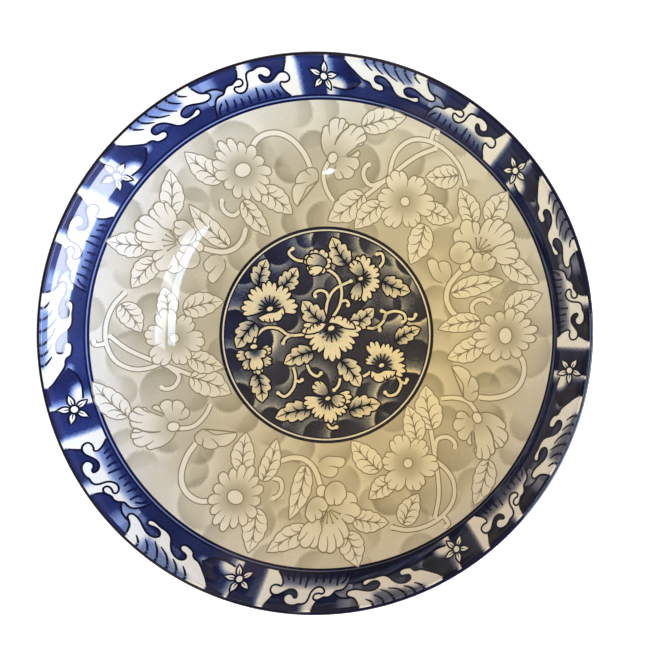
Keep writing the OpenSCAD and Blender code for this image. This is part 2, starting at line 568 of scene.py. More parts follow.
def ruffle(band, inner, height, scallops, level, nick=0.2):
    """A petal seen edge on, folded over a flower: a smooth near edge, and a scalloped edge on its left."""
    path = spline(inner)
    share = shares_along(path)
    along = np.gradient(path, axis=0)
    left = np.stack([-along[:, 1], along[:, 0]], 1) / np.linalg.norm(along, axis=1, keepdims=True)
    wave = 1 - nick * (1 - np.abs(np.sin(math.pi * scallops * share)) ** 0.6)
    out = path + left * (height * np.sin(math.pi * share) ** 0.45 * wave)[:, None]
    band.petals(there_and_back(path, out), level)
    for k in range(1, scallops):
        i = int(np.argmin(np.abs(share - k / scallops)))
        band.vein([out[i] + t * (path[i] - out[i]) for t in (0, 0.2, 0.42)], level + 1)


def disc(band, at, radius, level, squash=1.0, facing=0):
    """A small round centre."""
    band.petals(place(polar(1, np.arange(0, 360, 12)) * (1, squash), at, facing, radius), level)


def stamens(band, at, facing, count, spread, near, far, level, width, bulb=1.0):
    """Dark stamens that fan out, each with a knob at its end where bulb is over 1."""
    for i in range(count):
        share = i / (count - 1)
        ray = polar(1, facing + spread * (share - 0.5))
        end = far * (1 - 0.12 * abs(2 * share - 1))
        path = spline([at + ray * near, at + ray * (near + end) / 2, at + ray * end])
        band.stroke(*round_ended(path, width, bulb), level)


# ---- materials

def srgb(r, g, b):
    """A colour given as 0 to 255, as the shader's own numbers."""
    parts = [c / 255 for c in (r, g, b)]
    return tuple(c / 12.92 if c < 0.04045 else ((c + 0.055) / 1.055) ** 2.4 for c in parts) + (1.0,)


def print_stops(*colours, tones=(0, 0.3, 0.62, 1)):
    """The colours that a print takes from its darkest tone to the bare ground."""
    return [(tone, srgb(*colour)) for tone, colour in zip(tones, colours)]


class Nodes:
    """The node tree of a material or world, with short ways to add to it."""

    def __init__(self, owner, shader="Principled BSDF"):
        owner.use_nodes = True
        self.owner, self.tree = owner, owner.node_tree
        self.shader = self.tree.nodes[shader]
        self.coordinates = self.add("TexCoord").outputs
        self.place = self.coordinates["Object"]

    def add(self, kind, inputs=(), **settings):
        node = self.tree.nodes.new("ShaderNode" + kind)
        for key, value in settings.items():
            setattr(node, key, value)
        self.feed(node, inputs)
        return node

    def feed(self, node, inputs):
        """Gives each named or numbered input a value, or the output of another node."""
        for key, value in dict(inputs).items():
            if isinstance(value, bpy.types.NodeSocket):
                self.tree.links.new(value, node.inputs[key])
            else:
                node.inputs[key].default_value = value

    def noise(self, scale, detail=3.0, roughness=0.55):
        inputs = {"Vector": self.place, "Scale": scale, "Detail": detail, "Roughness": roughness}
        return self.add("TexNoise", inputs).outputs["Fac"]

    def span(self, source, low, high, start=0.3, end=0.7):
        """The source's range from start to end, stretched to low to high."""
        inputs = {"Value": source, "From Min": start, "From Max": end, "To Min": low, "To Max": high}
        return self.add("MapRange", inputs).outputs["Result"]

    def math(self, operation, *values):
        return self.add("Math", enumerate(values), operation=operation).outputs[0]

    def vector(self, operation, output, *values):
        return self.add("VectorMath", enumerate(values), operation=operation).outputs[output]

    def ramp(self, source, stops):
        node = self.add("ValToRGB", {"Fac": source})
        marks = node.color_ramp.elements
        while len(marks) < len(stops):
            marks.new(0.5)
        for mark, (position, colour) in zip(marks, stops):
            mark.position = position
            mark.color = colour
        return node.outputs["Color"]

    def mix(self, factor, a, b, blend="MIX"):
        """Two colours mixed. A Mix node's inputs 6 and 7 and its output 2 are the ones for colours."""
        return self.add("Mix", {0: factor, 6: a, 7: b}, data_type="RGBA", blend_type=blend).outputs[2]

    def bump(self, source, strength, distance, under=()):
        """Bumps, on top of the surface whose normal under gives."""
        inputs = {"Height": source, "Strength": strength, "Distance": distance}
        return self.add("Bump", inputs | dict(under)).outputs["Normal"]

    def mottled(self, colour, amount):
        """A fired colour's slow drift and fine speckle."""
        drift = self.span(self.noise(26, 3), 1 - amount, 1.0)
        speck = self.span(self.noise(1500, 2), 1 - amount * 0.8, 1.0)
        return self.mix(1.0, colour, self.math("MULTIPLY", drift, speck), "MULTIPLY")

    def painted_shade_side(self, start=-0.07, end=0.09):
        """0 to 1 across the bowl, towards the right and near side (+X and -Y), where colours are painted
        darker as shade.
        """
        x, y, _ = self.add("SeparateXYZ", {"Vector": self.place}).outputs
        return self.span(self.math("MULTIPLY_ADD", y, -0.6, x), 0.0, 1.0, start, end)

    def glaze(self, colour, mottle=0.05, roughness=0.32, wave=0.04, rolled=False):
        """A colour under a clear, slightly wavy glaze. A rolled one thins towards the lip."""
        surface = self.bump(self.noise(34, 1), wave, 0.004)
        if rolled:
            radius = self.vector("LENGTH", "Value", self.vector("MULTIPLY", "Vector", self.place, (1, 1, 0)))
            thinned = self.math("POWER", self.span(radius, 0.0, 1.0, *ROLL), 2)
            depth = self.span(thinned, 1.0, 0.0, 0.0, 1.0)
            surface = self.bump(depth, 1.0, ROLL_DEPTH, {"Normal": surface})
        self.feed(self.shader, {
            "Base Color": self.mottled(colour, mottle),
            "Roughness": self.span(self.noise(160, 2), roughness - 0.05, roughness + 0.06),
            "Specular IOR Level": 0.06, "Normal": self.bump(self.noise(2200, 2), 0.05, 0.0004),
            "Coat Weight": 0.6, "Coat Roughness": 0.035, "Coat IOR": 1.52, "Coat Normal": surface})


def printed(name, stops, shade_colours=None, shade_span=(-0.07, 0.09), stipple=0.035, **glaze):
    """Glazed print whose colour follows each point's tone. shade_colours has darker stops, painted on as
    shade towards the right and near side, and shade_span where that starts and ends. Its grain shifts a tone
    by up to stipple."""
    nodes = Nodes(bpy.data.materials.new(name))
    tone = nodes.add("Attribute", attribute_name="tone").outputs["Fac"]
    tone = nodes.math("ADD", tone, nodes.span(nodes.noise(1300, 2, 0.7), -stipple, stipple))
    colour = nodes.ramp(tone, stops)
    if shade_colours:
        # darker stops painted on as shade towards the right and near side of the bowl
        colour = nodes.mix(nodes.painted_shade_side(*shade_span), colour, nodes.ramp(tone, shade_colours))
    nodes.glaze(colour, 0.06, **glaze)
    return nodes.owner


def plain_glaze(name, colour, shade_colours=None, **glaze):
    """One glazed colour. shade_colours is what it turns to towards the right and near side, painted darker
    there as shade.
    """
    nodes = Nodes(bpy.data.materials.new(name))
    colour = srgb(*colour)
    if shade_colours:
        # a darker colour painted on as shade towards the right and near side of the bowl
        colour = nodes.mix(nodes.painted_shade_side(), colour, srgb(*shade_colours))
    nodes.glaze(colour, **glaze)
    return nodes.owner


def bare_clay(name, colour, dark):
    """Unglazed fired porcelain: matt, finely sandy, with worn and stained patches."""
    nodes = Nodes(bpy.data.materials.new(name))
    patch = nodes.span(nodes.noise(55, 5, 0.6), 0.0, 1.0, 0.45, 0.75)
    sandy = nodes.span(nodes.noise(3200, 2), 0.9, 1.0)
    nodes.feed(nodes.shader, {
        "Base Color": nodes.mix(1.0, nodes.mix(patch, srgb(*colour), srgb(*dark)), sandy, "MULTIPLY"),
        "Roughness": nodes.span(nodes.noise(700, 3), 0.68, 0.88),
        "Normal": nodes.bump(nodes.noise(2600, 3), 0.35, 0.0006)})
    return nodes.owner


ROLL = (0.1134, 0.1204)  # radii in metres
ROLL_DEPTH = 0.00055
CREAM = (238, 231, 211)
WARM_CREAM = (243, 230, 192)

# the border print's second stops are its colours painted darker as shade on the right and near side
border_tones = printed(
    "border_print_glaze", print_stops((14, 17, 58), (39, 52, 103), (130, 147, 182), CREAM),
    print_stops((6, 7, 24), (25, 28, 54), (112, 114, 126), CREAM), stipple=0.06, rolled=True)
border_ink = plain_glaze("border_ink_glaze", (10, 11, 36), rolled=True)
# the medallion print's second stops are its colours painted darker as shade on the right and near side
medallion_tones = printed(
    "medallion_print_glaze", print_stops((9, 12, 42), (28, 38, 78), (118, 126, 146), WARM_CREAM),
    print_stops((18, 18, 34), (50, 52, 66), (128, 128, 126), WARM_CREAM), (-0.045, -0.012), 0.085)
medallion_ink = plain_glaze("medallion_ink_glaze", (10, 11, 30))
field_tones = printed("field_print_glaze", print_stops(
    (134, 126, 104), (180, 172, 148), (208, 200, 176), CREAM, tones=(0, 0.4, 0.7, 1)))
field_ink = plain_glaze("field_ink_glaze", (146, 137, 112))
ring_dark = plain_glaze("ring_dark_glaze", (18, 18, 34))
ring_light = plain_glaze("ring_light_glaze", (228, 222, 206))
# each line's second colour is the same line painted darker as shade on the right and near side
line_dark = plain_glaze("line_dark_glaze", (15, 19, 62), (16, 16, 34))
line_light = plain_glaze("line_light_glaze", (122, 138, 178), (78, 78, 92))
lip_glaze = plain_glaze("lip_glaze_dark", (16, 13, 34), roughness=0.26)
# the outside's glaze is painted greyer than the inside's cream, as painted shade for outer walls that the
# side lamps light strongly
clear_glaze = plain_glaze("clear_glaze_cream", (178, 174, 163), wave=0.07)
body_material = plain_glaze("fired_porcelain", (228, 222, 205))
foot_material = bare_clay("bare_foot_clay", (206, 190, 160), (158, 138, 108))


# ---- shaded grounds

def fade(value, start, end):
    """1 before start, 0 after end, and smooth between."""
    t = np.clip((value - start) / (end - start), 0, 1)
    return 1 - t * t * (3 - 2 * t)


def lobed_ground(base, lobes, glow, shade, glow_reach, shade_reach, soft, outward=(0, 1)):
    """The tones of overlapping cloud lobes: dark just inside each lobe's edge and light just outside it.
    soft is the width of the edge. outward is how much lighter it all gets, and from what radius."""
    def tone(xy):
        value = base + outward[0] * fade(-np.hypot(*xy.T), -outward[1] - 14, -outward[1])
        plain = value
        for x, y, radius, direction, strength in lobes:
            dx, dy = xy[:, 0] - x, xy[:, 1] - y
            gap = np.hypot(dx, dy) - radius
            seen = strength * fade(np.abs(wrap(np.degrees(np.arctan2(dy, dx)) - direction)), 50, 115)
            shaded = value + (plain - shade - value) * seen * np.exp(np.minimum(gap, 0) / shade_reach)
            lit = value + (1 - value) * glow * seen * np.exp(-np.maximum(gap, 0) / glow_reach)
            value = lit + (shaded - lit) * fade(gap, -soft / 2, soft / 2)
        return value
    return tone


# ---- the flowered field

FIELD_LOBES = [  # x, y, radius, direction of the edge that shows, strength
    (101, 8, 9.5, 265, 0.9), (92, -8, 12, -55, 0.9), (83, -22, 8, 85, 1), (73, -24, 7, 95, 0.9),
    (50, 0, 7, 75, 0.9), (51, -14, 7, 80, 0.9), (50, 15, 7, 80, 0.9), (62, 13, 8.5, 200, 0.7),
    (88, 16, 8.5, 90, 1), (81, 22, 7.5, 275, 0.8), (92, 50, 8, 275, 0.9), (55, 39, 9.5, 110, 1),
    (43, 29, 8, 50, 0.8), (80, 28, 6, 210, 0.7), (54, 59, 9, 310, 0.9), (68, 62, 7, 150, 0.6),
    (83, 68, 8, 80, 0.8), (48, 62, 8.5, -10, 1), (34, 79, 12.5, 15, 0.9), (15, 76, 10.5, 0, 1),
    (2, 101, 6.5, 5, 1), (-11, 100, 7.5, -5, 1), (-4, 84, 7.5, 100, 0.9), (6, 66, 6.5, 200, 0.7),
    (-1, 52, 8, 175, 0.9), (16, 44, 8, 80, 0.6), (24, 92, 7, 250, 0.6), (62, 88, 9, 230, 0.8),
    (28, 104, 8, 250, 0.7), (50, 78, 6, 100, 0.6), (99, 30, 7, 230, 0.7), (76, 6, 9, 30, 0.5),
]


def bloom_with_stamens(band):
    """The big open flower on its bent stem: long petals behind, stamens, and two cupped petals in front."""
    vine(band, [(62.5, 30), (60.4, 27.7), (57.8, 25), (55.2, 21), (54.5, 16), (56.5, 11), (60, 7.5)], 2.1)
    scalloped(band, (53.6, 23.3),
        [(52.6, 23.1), (50.4, 23.8), (48.4, 25.4), (47.2, 27.7), (46.1, 30.4), (45.6, 32.8)],
        [(45.6, 32.8), (50.7, 32), (56.6, 30.1)], [(56.6, 30.1), (57, 27.9), (56.3, 25.4), (54.7, 23.4)],
        5, cut=0.5)
    disc(band, (63.3, 30.4), 2.7, 6, 0.9, 20)
    foot = (68.9, 36.8)
    scalloped(band, foot, [(66, 38), (59, 40.2), (57.7, 42.6), (57.8, 44.7), (58.9, 46.5), (60.8, 47.6)],
        [], [(60.8, 47.6), (61.9, 44.9)], 7)
    scalloped(band, foot, [(62, 44.7), (61, 46.7), (61.5, 49.4)],
        [(61.5, 49.4), (66.8, 49.9), (70.4, 48.1)], [(70.4, 48.1), (70.4, 46.5), (69.8, 44.8)], 9, cut=0.38)
    scalloped(band, foot, [(75.1, 36.5), (78.3, 39.4), (81.5, 40), (84.5, 41.1)],
        [(84.5, 41.1), (87.1, 38.2), (86.9, 33), (85.2, 31.4)],
        [(85.2, 31.4), (81.8, 30.9), (78.6, 31.7), (76, 33.7)], 11, bulge=0.34)
    scalloped(band, foot, [(69.8, 44.7), (70.6, 46.7), (71.9, 49.1), (73.1, 50.4)],
        [(73.1, 50.4), (77.2, 50.2), (82.1, 49.3), (85.7, 46.4), (84.5, 41.2)],
        [(84.5, 41.2), (81.5, 40), (78.3, 39.5)], 13, cut=0.36)
    stamens(band, foot, 50, 5, 90, 1.2, 7.4, 15, 0.5, 1.9)
    scalloped(band, (60, 34.6),
        [(66.2, 34.1), (64, 32.3), (60.7, 31.6), (57.6, 32.8), (56, 35.3), (56.3, 38.1), (58, 40.3),
        (60.6, 41.7), (62.6, 41.3)], [(62.6, 41.3), (66, 38.6), (66.2, 34.1)], [],
        17, bulge=0.25, cut=0.42, reach=5)
    scalloped(band, (71, 30.5),
        [(77.5, 31.8), (76.4, 29.6), (73.8, 28.4), (70.6, 27.8), (67.8, 28.6), (66.1, 30.6), (65.9, 33.2),
        (66.8, 35.2)], [(66.8, 35.2), (71.4, 35.1), (75.7, 34.5), (77.5, 31.8)], [],
        19, bulge=0.36, cut=0.42, reach=5)


def ring_of_petals(band):
    """The flat flower with a round middle, and the long vine that ends in a folded leaf."""
    vine(band, [(88, -9), (90.2, -13), (90.4, -18), (88.2, -23), (83.4, -26.7), (75.5, -28.5), (69, -28)],
        2.1)
    scalloped(band, (63, -27.7), [(56.6, -14.5), (60.4, -20), (62.1, -22.5), (62.2, -25.9), (62.4, -28.4)],
        [(56.6, -14.5), (65.8, -18.6), (69, -25.2), (66.7, -30.1)],
        [(66.7, -30.1), (64.6, -29.7), (62.4, -28.4)], 5, cut=0.55, bulge=0.2)
    lengths = [0.96, 0.9, 1.0, 0.92, 0.98, 0.9, 0.97, 1.0, 0.9, 0.96, 1.0, 0.92, 0.97, 0.9, 1.0]
    flower(band, (81.7, -0.5),
        10, 15.6, lengths, 9, scallops=1, dip=0.2, nick=0.0, notch=0, squash=0.76, blush=0.36)
    disc(band, (81.7, -0.8), 3.1, 11, 1.2)


def broad_petals(band):
    """The bloom with six broad petals."""
    flower(band, (35.7, 59.7), 20, 14.2, [0.98, 0.86, 1.0, 0.94, 1.02, 0.9],
        9, dip=0.27, nick=0.09, cut=0.36, notch=0.19, blush=0.42)
    disc(band, (35.7, 59.7), 2.2, 11)


def side_bloom(band):
    """The flower seen from its side: three long petals that fan out from a round cup."""
    foot = (3.1, 79.4)
    scalloped(band, foot, [(0.6, 79.7), (-1.1, 82.5), (-1.7, 87.6), (-0.7, 91.4)],
        [(-0.7, 91.4), (2.4, 93.3), (7.8, 96.4), (10.3, 95), (11.1, 93)],
        [(11.1, 93), (8.4, 91), (5.9, 88.5), (4.3, 85)], 9, blush=0.62)
    scalloped(band, foot, [(9.5, 80), (11.1, 80.3), (15.2, 82.8)],
        [(15.2, 82.8), (14.2, 79.6), (12.9, 73.8), (7.8, 70.6), (3.6, 71.5)],
        [(3.6, 71.5), (3.4, 73), (4.6, 76.1)], 11, blush=0.62, cut=0.38)
    scalloped(band, foot, [(4.3, 85), (6.4, 88.5), (8.7, 91), (11.2, 92.7)],
        [(11.2, 92.7), (15.3, 93), (18.5, 90.1), (17.6, 86.3), (15.6, 84.9)],
        [(15.6, 84.9), (12.3, 82.9), (9.6, 80.9)], 13, blush=0.6)
    disc(band, (3.2, 79.4), 2.7, 17, 0.8, 60)


FIELD_MOTIFS = [  # what is drawn, its leaves, its vines, and how each repeat is turned and moved out
    (bloom_with_stamens,
     [((56.5, 18.5), (81.3, 24), 4.7), ((67.5, 49), (61.5, 65), 5.2), ((74.5, 49), (84.5, 63), 5.8),
      ((80.5, 34), (98, 22.5), 5.4)],
     [], ((-0.2, 0.3), (-0.2, 0.3), (3, 0))),
    (ring_of_petals,
     [((81.5, 9.5), (99.5, 17.5), 5.6), ((70, 6), (50.5, 2.3), 4.4), ((71, -3.5), (54.5, -11), 5.4)],
     [[(66.8, 9), (66, 12.5), (68.5, 15), (72, 15.3), (75, 13.5)]], ((0, 0.4), (-3, 1.1), (1.7, 1.6))),
    (broad_petals,
     [((44.5, 49.5), (38, 31.5), 5.8), ((45.2, 57), (58, 51), 5), ((17, 63), (0.5, 51), 6.6),
      ((25.5, 59), (12.5, 47.5), 5.2), ((61, 71), (45.5, 70.5), 5.4)],
     [[(29.5, 66), (29.5, 74), (33, 82), (40, 86.5), (48, 86), (56, 81.5), (62, 74), (64.5, 66)],
      [(16, 61), (24, 67), (32, 73), (42, 79.5), (52, 83)],
      [(26, 68.5), (20, 67), (17, 71), (18, 75), (20.5, 76.5)], [(49, 86), (51, 90), (53.5, 89)]],
     ((-0.4, 0.3), (2, -0.6), (3.9, -0.7))),
    (side_bloom, [((17.5, 93), (38.5, 97), 5.6)],
     [[(3, 60), (0.2, 64.6), (-1.3, 69.7), (-1.2, 72.8), (0.4, 76.4), (2.4, 79)]],
     ((-0.5, 0), (3.3, 0.8), (3.9, -0.7))),
]
SECTORS = (0, 120, 240)
FIELD_MIDDLE = 78  # distance of the field's motifs from the axis


def draw_field():
    band = Print("field", field_tones, field_ink, 0.5)
    for sector, start in enumerate(SECTORS):
        for draw, leaves, vines, nudges in FIELD_MOTIFS:
            turned, out = nudges[sector]
            band.to_plan = lambda points, a=start + turned, f=1 + out / FIELD_MIDDLE: turn(points, a) * f
            for points in vines:
                vine(band, points, 1.7, 1.25)
            for i, from_to in enumerate(leaves):
                leaf(band, *from_to, 4 + 2 * (i % 2), lobes=5, nick=0.11, bend=0.04 * (-1) ** i,
                     pointed=0.25)
            draw(band)
    band.finish()


# ---- the dark medallion

MEDALLION_LOBES = [  # x, y, radius, direction of the edge that shows, strength
    (1, 42, 7.6, 180, 1.2), (13, 44, 7, 190, 1), (22, 42, 7, 185, 0.9), (30, 36, 5.5, 200, 0.8),
    (39, 34, 7.5, 240, 1), (40, 13, 7.6, 275, 1.2), (36, 15, 5.6, 120, 0.7), (41, -8, 6, 60, 0.7),
    (38, -26, 9, 75, 1.3), (31, -28, 8, 175, 1.1), (19, -27, 5.6, 180, 0.9), (30, -38, 8, 165, 1.1),
    (9, -45, 7, 160, 0.9), (-4, -45, 6.5, 150, 0.7), (-22, -17, 5.5, 350, 0.8), (-31, -2, 7, -15, 1.3),
    (-18, 7, 5.2, 280, 0.9), (-22, 38, 6.5, 235, 0.8), (-38, 31, 8, 240, 0.7), (-42, 5, 6.5, 70, 1),
    (-12, 24, 6.2, 330, 0.8), (8, 28.5, 4.4, 200, 0.9), (27, 13, 7.2, 300, 0.9), (13, 17, 6, 20, 0.5),
    (-40, -29, 7.5, 40, 1), (-6, -22, 7.5, 90, 0.7), (-25, -38, 5.5, 60, 0.9), (24, 30, 6, 100, 0.6),
    (-9, 44, 5, 250, 0.6), (33, 25, 6, -60, 0.5), (-44, -12, 6, 60, 0.8), (4, 22, 5, 110, 0.4),
]


def peony(band, at, facing, size, lengths, folds, cups):
    """A ruffled flower: a fan of petals, dark rays round a small hub, and near petals that fold over it.
    folds are seen edge on, and cups are whole small petals."""
    flower(band, at, facing, size, lengths, 11, spread=215, dip=0.16, nick=0.15, hub=0.22, cut=0.16,
           notch=0.12, blush=0.0, blush_size=0.32)
    stamens(band, at, facing, 9, 180, 0.16 * size, 0.46 * size, 13, 0.7)
    for fold in folds:
        ruffle(band, *fold, 15)
    for cup in cups:
        petal(band, *cup, 17, scallops=4, nick=0.16, blush=0.55)
    disc(band, at, 0.13 * size, 19, 0.75, 20)


MEDALLION_PEONIES = [  # place, facing, size, petal lengths, folds, cups
    ((2.3, 3), -88, 14.2, (0.96, 0.93, 1.08, 0.96, 0.98),
     (([(-9.4, 0.2), (-5.5, 0.6), (-1.8, 2.2), (0.2, 5)], 4.4, 5),
      ([(0.9, 5.2), (4.6, 4.8), (9, 2.8), (13.4, 2.4)], 4.6, 5)), ()),
    ((-25.6, 11.8), 92, 13.4, (0.97, 0.95, 0.96, 0.95, 1),
     (([(-19.8, 12.8), (-22.6, 10.6), (-26.6, 9.9), (-31.2, 8)], 4.8, 5),), ()),
    ((25.2, -13.8), 72, 12.2, (0.95, 0.96, 0.86, 0.98, 0.66),
     (([(32, -16.2), (27, -15.9), (23.6, -17.2), (20.6, -15.8)], 4.8, 5),), ()),
    ((0.8, -28.6), -82, 11.8, (0.98, 0.9, 0.98, 0.9, 0.95), (),
     (((0.8, -26.6), 145, 8.4, 7), ((2.2, -28.2), -22, 7, 6.6))),
    ((15.8, 25.2), 2, 11, (0.98, 0.86, 0.86, 0.98), (),
     (((16.4, 26.6), 128, 8.2, 6.6), ((15.2, 23.6), -108, 8.8, 6))),
]
MEDALLION_LEAVES = [  # base, tip, half width
    ((-31, 22), (-27, 34.5), 4.4), ((-20.5, 21), (-13, 30.5), 4.4), ((9.5, 31.5), (2.6, 44), 4.8),
    ((25.5, 24), (38.5, 19), 4.6), ((-1.5, 5), (-11, 15.5), 4.8), ((11.5, 4), (22, 12), 4.2),
    ((31.5, -3), (43, 2.8), 3.8), ((-6, -7.5), (-19.5, -13), 4.4), ((6.5, -11.5), (15.6, -23.5), 4.8),
    ((-32.5, 5.5), (-41, -6), 4.8), ((-31.5, -17.5), (-29, -30.5), 4.6), ((-7, -33.5), (-23.5, -37.5), 4.6),
    ((10.5, -34), (25, -31), 4.8),
]
MEDALLION_VINES = [
    [(-9, 0.3), (-17, 0), (-22, 3), (-28, 3), (-32, -1), (-33, -5)],
    [(-15, 0.2), (-18.5, -1.5), (-20, -4.5)],
    [(-0.5, 9), (1, 16), (4, 20.5), (12, 24.5)],
    [(1, 16), (0, 19), (-3, 20), (-5.3, 18.6), (-4.6, 16.6)],
    [(3, 8), (6, 13), (7, 20), (5, 26), (0, 30)],
    [(6.4, 14.8), (9, 15.4), (10.2, 14), (9.4, 12.6)],
    [(16, 3.5), (22, 3), (26, 6), (27, 9), (31, 10.5), (35.4, 9.2), (36, 6.4), (34, 5.4)],
    [(26.2, 6.5), (27.2, 9.6), (24.4, 11)],
    [(21.5, 3), (24, 3.4), (24.4, 1.2)],
    [(37, 7), (39.6, 7), (41, 9.6)],
    [(-9.5, 33), (-14, 34), (-17, 37), (-14.5, 39.4)],
    [(24, 30), (26, 33), (25.2, 36.4), (22.4, 36)],
    [(-15, -14.5), (-14, -19), (-15, -24), (-19, -27.7), (-22.6, -25.6)],
    [(-14, -20.4), (-12, -21), (-10.5, -19.6)],
    [(-9, -13), (-7, -17), (-4, -18.6), (-1.8, -16.6)],
    [(6.4, -19.5), (5.4, -23), (3, -25.4)],
    [(14, -18.7), (17, -18.6), (20.6, -16.6)],
    [(32, -18), (34, -22), (32, -26.4), (28.6, -27.4), (26.2, -25.4)],
    [(33.6, -21), (36, -21.8), (37, -19.4)],
    [(0.5, -40), (2.4, -42), (5.6, -41.2)],
]


def cupped_bloom(band):
    """The half open flower that hangs at the left."""
    flower(band, (-32.5, -9), -78, 9.6, [0.92, 0.86, 0.96, 0.9, 0.86], 11, spread=250, blush=0.35)
    flower(band, (-32.4, -7.2), -84, 8.6, [0.62, 1.05, 0.66],
        15, spread=200, scallops=2, cut=0.2, notch=0.14, blush=0.25, blush_size=0.34)
    disc(band, (-33, -5.2), 1.9, 19, 0.7, 10)


def bud(band):
    """The closed bloom at the top."""
    flower(band, (-4, 33), 80, 6.9, [0.92, 0.96, 0.92, 0.84, 0.92, 0.9],
        11, scallops=2, dip=0.16, nick=0.08, cut=0.25, blush=0.6)
    petal(band, (0.4, 32.4), 174, 9.4, 8, 15, blush=0.45)
    petal(band, (-1.4, 30.2), -160, 7, 5, 17, nick=0.08)


def draw_medallion():
    band = Print("medallion", medallion_tones, medallion_ink, 0.72)
    for points in MEDALLION_VINES:
        vine(band, points, 1.15, 1.5)
    for i, (base, tip, half_width) in enumerate(MEDALLION_LEAVES):
        leaf(band, base, tip, 1.1 * half_width, 5 + 2 * (i % 3), lobes=4, nick=0.28, bend=0.05 * (-1) ** i,
             pointed=0.1, blush=0.24)
    for bloom in MEDALLION_PEONIES:
        peony(band, *bloom)
    cupped_bloom(band)
    bud(band)
    band.finish()


# ---- the border

STARS = [88.2, 38.7, -8.4, -56.6, -107.5, -162.9, -218.1]  # directions of the stars, clockwise
MARKS = np.array([STARS[-1] + 360, *STARS, STARS[0] - 360])
PERIOD = 103.0  # drawing length of one repeat
TOP = 15.1  # drawing height of the border
border_foot_r, border_top_r = inside_edges("border_print")


def border_place(k):
    """How the border's drawing lies on the plan round star k: along clockwise, and out from its foot."""
    before, here, after = MARKS[k:k + 3]

    def to_plan(points):
        u, h = np.asarray(points).T
        angle = here - u / PERIOD * np.where(u > 0, here - after, before - here)
        radius = border_foot_r + np.clip(h, 0.05, TOP) / TOP * (border_top_r - border_foot_r - 0.05)
        return polar(radius, angle)
    return to_plan


def border_coordinates(xy):
    """Drawing coordinates of plan points: along from the nearest star, and out from the border's foot."""
    angle = np.degrees(np.arctan2(xy[:, 1], xy[:, 0]))
    angle = np.where(angle > MARKS[0], angle - 360, angle)
    angle = np.where(angle < MARKS[-1], angle + 360, angle)
    share = np.interp(-angle, -MARKS, np.arange(len(MARKS)))
    u = (share - np.round(share)) * PERIOD
    return u, (np.hypot(*xy.T) - border_foot_r) / (border_top_r - border_foot_r) * TOP


def border_ground(xy):
    """The border's shaded ground: blocks that are white along one edge and fade into dark blue."""
    u, h = border_coordinates(xy)
    glows = [
        0.16 + 0.12 * fade(h, 2, 9) * fade(np.abs(u - 22), 4, 14),
        0.3 * fade(np.abs(u - 20), 2, 12) * fade(-h, -8, -1),
        0.8 * np.exp(-np.hypot(u - 17.5, (h - 5.8) * 1.3) / 2.6),
        0.95 * np.exp(-np.maximum(u - 3.5, 0) / 3.5) * fade(-u, -1.2, -0.6) * fade(h, 3.2, 5) * (u < 14),
        0.34 * ((u > 26) & (h > 7.5)),
        0.5 * fade(np.abs(u - 51), 3, 8) * fade(-h, -7, -3),
        (0.12 + 0.5 * fade(u, -50, -41) * fade(-h, -12, -9)) * (u < -38),
    ]
    return np.where((u > -30) & (u < -16), 0.14, np.max(glows, 0))


LIP_MARKS = (-35, -14.6, 0.9, 10, 19.3, 23.4, 27.5, 32.7, 37.3, 41.9, 48.2)  # lines that reach the lip
LIP_SHADES = [  # where a block starts and ends, its dark tone, and where it fades from white to that
    (-14.6, -5.5, 0.18, -12.6, -9.2), (0.9, 9.4, 0.06, 1.6, 4.4), (-35, -25, 0.14, -32.6, -27.4),
]


def lip_ground(xy):
    """The border's pattern where it runs out over the inner half of the lip."""
    u, _ = border_coordinates(xy)
    value = np.where((u > 10) & (u < 48.2), 1 - 0.46 * fade(np.abs(u - 30), 9, 14), 0.14)
    for start, end, dark, *span in LIP_SHADES:
        value = np.where((u > start) & (u < end), dark + (1 - dark) * fade(u, *span), value)
    for mark in LIP_MARKS:
        value = value * (1 - np.exp(-((u - mark) / 0.5) ** 2))
    return value


WAVE_RIGHT = [
    (10, 15.1), (11.9, 12.8), (14.2, 10.8), (16.7, 8.8), (18.7, 7.6), (20.8, 7.2), (21.9, 6.6), (22.9, 5.2),
    (25, 4.5), (27.1, 4.4), (28.3, 5), (28.5, 6.2), (27.5, 7.2), (25.6, 7.5), (24.3, 8), (23.9, 9.2),
    (24.8, 10.3), (26.7, 10.6), (28.7, 10.2), (30.6, 9.2), (32.3, 7.6), (34, 5.6), (35.8, 4.6), (38.1, 4.3),
    (40.6, 4.5), (43.7, 4.4), (45.4, 4.8), (46.2, 5.8), (45.8, 6.8), (44.8, 7), (42.7, 6.2), (40.6, 5.9),
    (39, 6.5), (38.3, 7.8), (39.2, 9), (41, 9.7), (43.3, 9.7), (45.8, 9), (48.7, 8.1), (51, 7.9),
    (52.9, 8.4), (53.5, 9.6), (52.9, 10.6), (51.4, 11.2), (50, 12), (48.9, 13.6), (48.2, 15.1),
]
WAVE_RIGHT_CUTS = [
    ((19.3, 15.1), (21, 13.4), (22.8, 12.1)), ((23.4, 15.1), (25.3, 13.2), (27.8, 11.7)),
    ((27.5, 15.1), (30.4, 12.3), (34.7, 10.5)), ((32.7, 15.1), (35.1, 12.3), (38.2, 10.2)),
    ((37.3, 15.1), (39.2, 13.2), (41.5, 11.9)), ((41.9, 15.1), (43.3, 14), (45.1, 13.1)),
]
